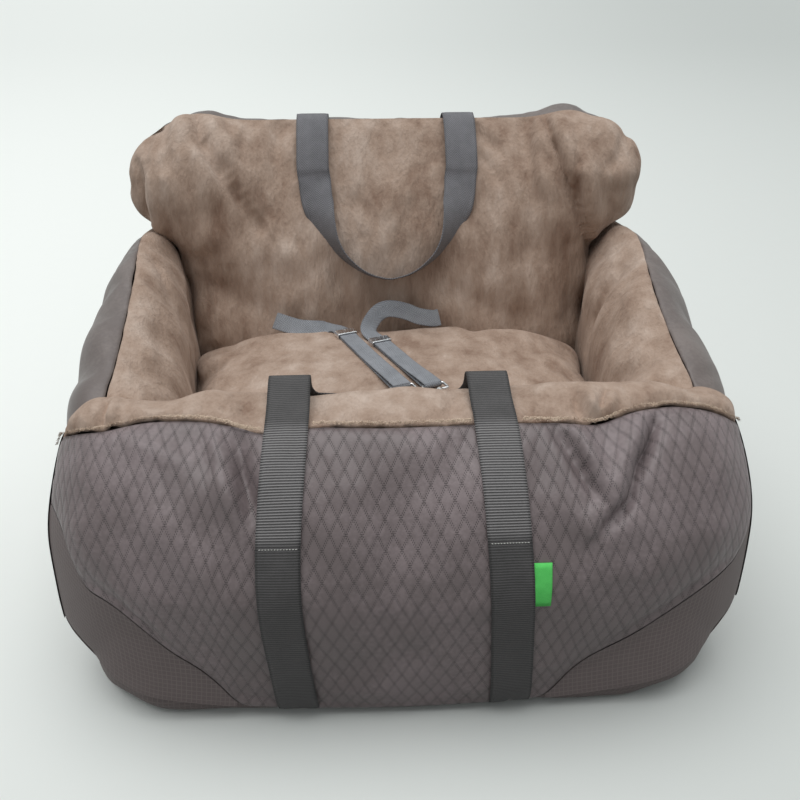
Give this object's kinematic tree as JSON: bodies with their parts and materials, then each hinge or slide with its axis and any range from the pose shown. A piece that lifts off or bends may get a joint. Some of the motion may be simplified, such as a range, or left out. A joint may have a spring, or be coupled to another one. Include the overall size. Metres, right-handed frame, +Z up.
{
  "type": "dog car seat",
  "caption": "Padded booster car seat for a small dog: bolstered rim round a seat cushion, tall plush pillow backrest, webbing carry handles and clip-on harness tethers.",
  "frame": {"origin": "centre of the footprint, on the surface that the seat rests on", "axes": "+X to the seat's right as seen from in front, +Y from the front towards the backrest, +Z up"},
  "size_m": [0.655, 0.6089, 0.458],
  "materials": {
    "leatherette": "soft matt grain with rows of pin dots",
    "plush": "brushed short pile",
    "ripstop": "woven grid, slight sheen",
    "foam": "open-cell foam",
    "fibre_fill": "loose fibre",
    "dark_webbing": "ribbed weave",
    "grey_webbing": "ribbed weave",
    "tether_webbing": "ribbed weave",
    "tag_cloth": "smooth woven label",
    "zip_tape": "woven tape",
    "zip_teeth": "moulded teeth",
    "chrome": "polished"
  },
  "bodies": {
    "seat": {"base_panel": "ripstop", "booster_slab": "foam", "booster_block": "foam", "front_panel": "leatherette", "front_lining": "plush", "front_fill": "fibre_fill", "right_side_panel": "leatherette", "right_lining": "plush", "right_fill": "fibre_fill", "left_side_panel": "leatherette", "left_lining": "plush", "left_fill": "fibre_fill", "seat_cushion_cover": "plush", "seat_cushion_lining": "ripstop", "seat_cushion_fill": "fibre_fill", "backrest_cover": "plush", "back_panel": "leatherette", "backrest_fill": "fibre_fill", "front_left_strap": "dark_webbing", "front_right_strap": "dark_webbing", "side_tag": "tag_cloth", "back_left_strap": "grey_webbing", "back_right_strap": "grey_webbing", "zip_tape": "zip_tape", "zip_chain": "zip_teeth", "left_tether": "tether_webbing", "left_hook_eye": "chrome", "right_tether": "tether_webbing", "right_hook_eye": "chrome"},
    "front_handle": {"front_handle": "dark_webbing"},
    "back_handle": {"back_handle": "grey_webbing"},
    "left_slider": {"left_slider": "chrome"},
    "right_slider": {"right_slider": "chrome"},
    "left_hook": {"left_hook": "chrome"},
    "left_gate": {"left_hook_gate": "chrome"},
    "right_hook": {"right_hook": "chrome"},
    "right_gate": {"right_hook_gate": "chrome"},
    "zip_slider": {"zip_slider": "chrome"},
    "zip_pull": {"zip_pull": "chrome"}
  },
  "joints": [
    {"name": "front_handle_swing", "type": "hinge", "parent": "seat", "child": "front_handle", "pos_m": [0, -0.16778, 0.30152], "axis": [1, 0, 0], "range_deg": [0, 170]},
    {"name": "back_handle_swing", "type": "hinge", "parent": "seat", "child": "back_handle", "pos_m": [0, 0.23397, 0.4578], "axis": [-1, 0, 0], "range_deg": [0, 165]},
    {"name": "left_slider_shift", "type": "slide", "parent": "seat", "child": "left_slider", "axis": [0.3746, -0.9272, 0], "range_m": [0, 0.045]},
    {"name": "left_hook_swivel", "type": "hinge", "parent": "seat", "child": "left_hook", "pos_m": [0.0034, -0.0778, 0.24257], "axis": [0.3746, -0.9272, 0], "continuous": true},
    {"name": "left_gate_open", "type": "hinge", "parent": "left_hook", "child": "left_gate", "pos_m": [0.01137, -0.10446, 0.24257], "axis": [0, 0, 1], "range_deg": [0, 28], "stiffness_Nm_per_rad": 0.02, "springref_deg": -17.19},
    {"name": "right_slider_shift", "type": "slide", "parent": "seat", "child": "right_slider", "axis": [0.3987, -0.9171, 0], "range_m": [0, 0.045]},
    {"name": "right_hook_swivel", "type": "hinge", "parent": "seat", "child": "right_hook", "pos_m": [0.03553, -0.077, 0.24315], "axis": [0.3987, -0.9171, 0], "continuous": true},
    {"name": "right_gate_open", "type": "hinge", "parent": "right_hook", "child": "right_gate", "pos_m": [0.0442, -0.10344, 0.24315], "axis": [0, 0, 1], "range_deg": [0, 28], "stiffness_Nm_per_rad": 0.02, "springref_deg": -17.19},
    {"name": "zip_slide", "type": "slide", "parent": "seat", "child": "zip_slider", "axis": [-1, 0, 0], "range_m": [0, 0.26]},
    {"name": "zip_pull_flip", "type": "hinge", "parent": "zip_slider", "child": "zip_pull", "pos_m": [0.1385, 0.29913, 0.13905], "axis": [1, 0, 0], "range_deg": [0, 120]}
  ]
}
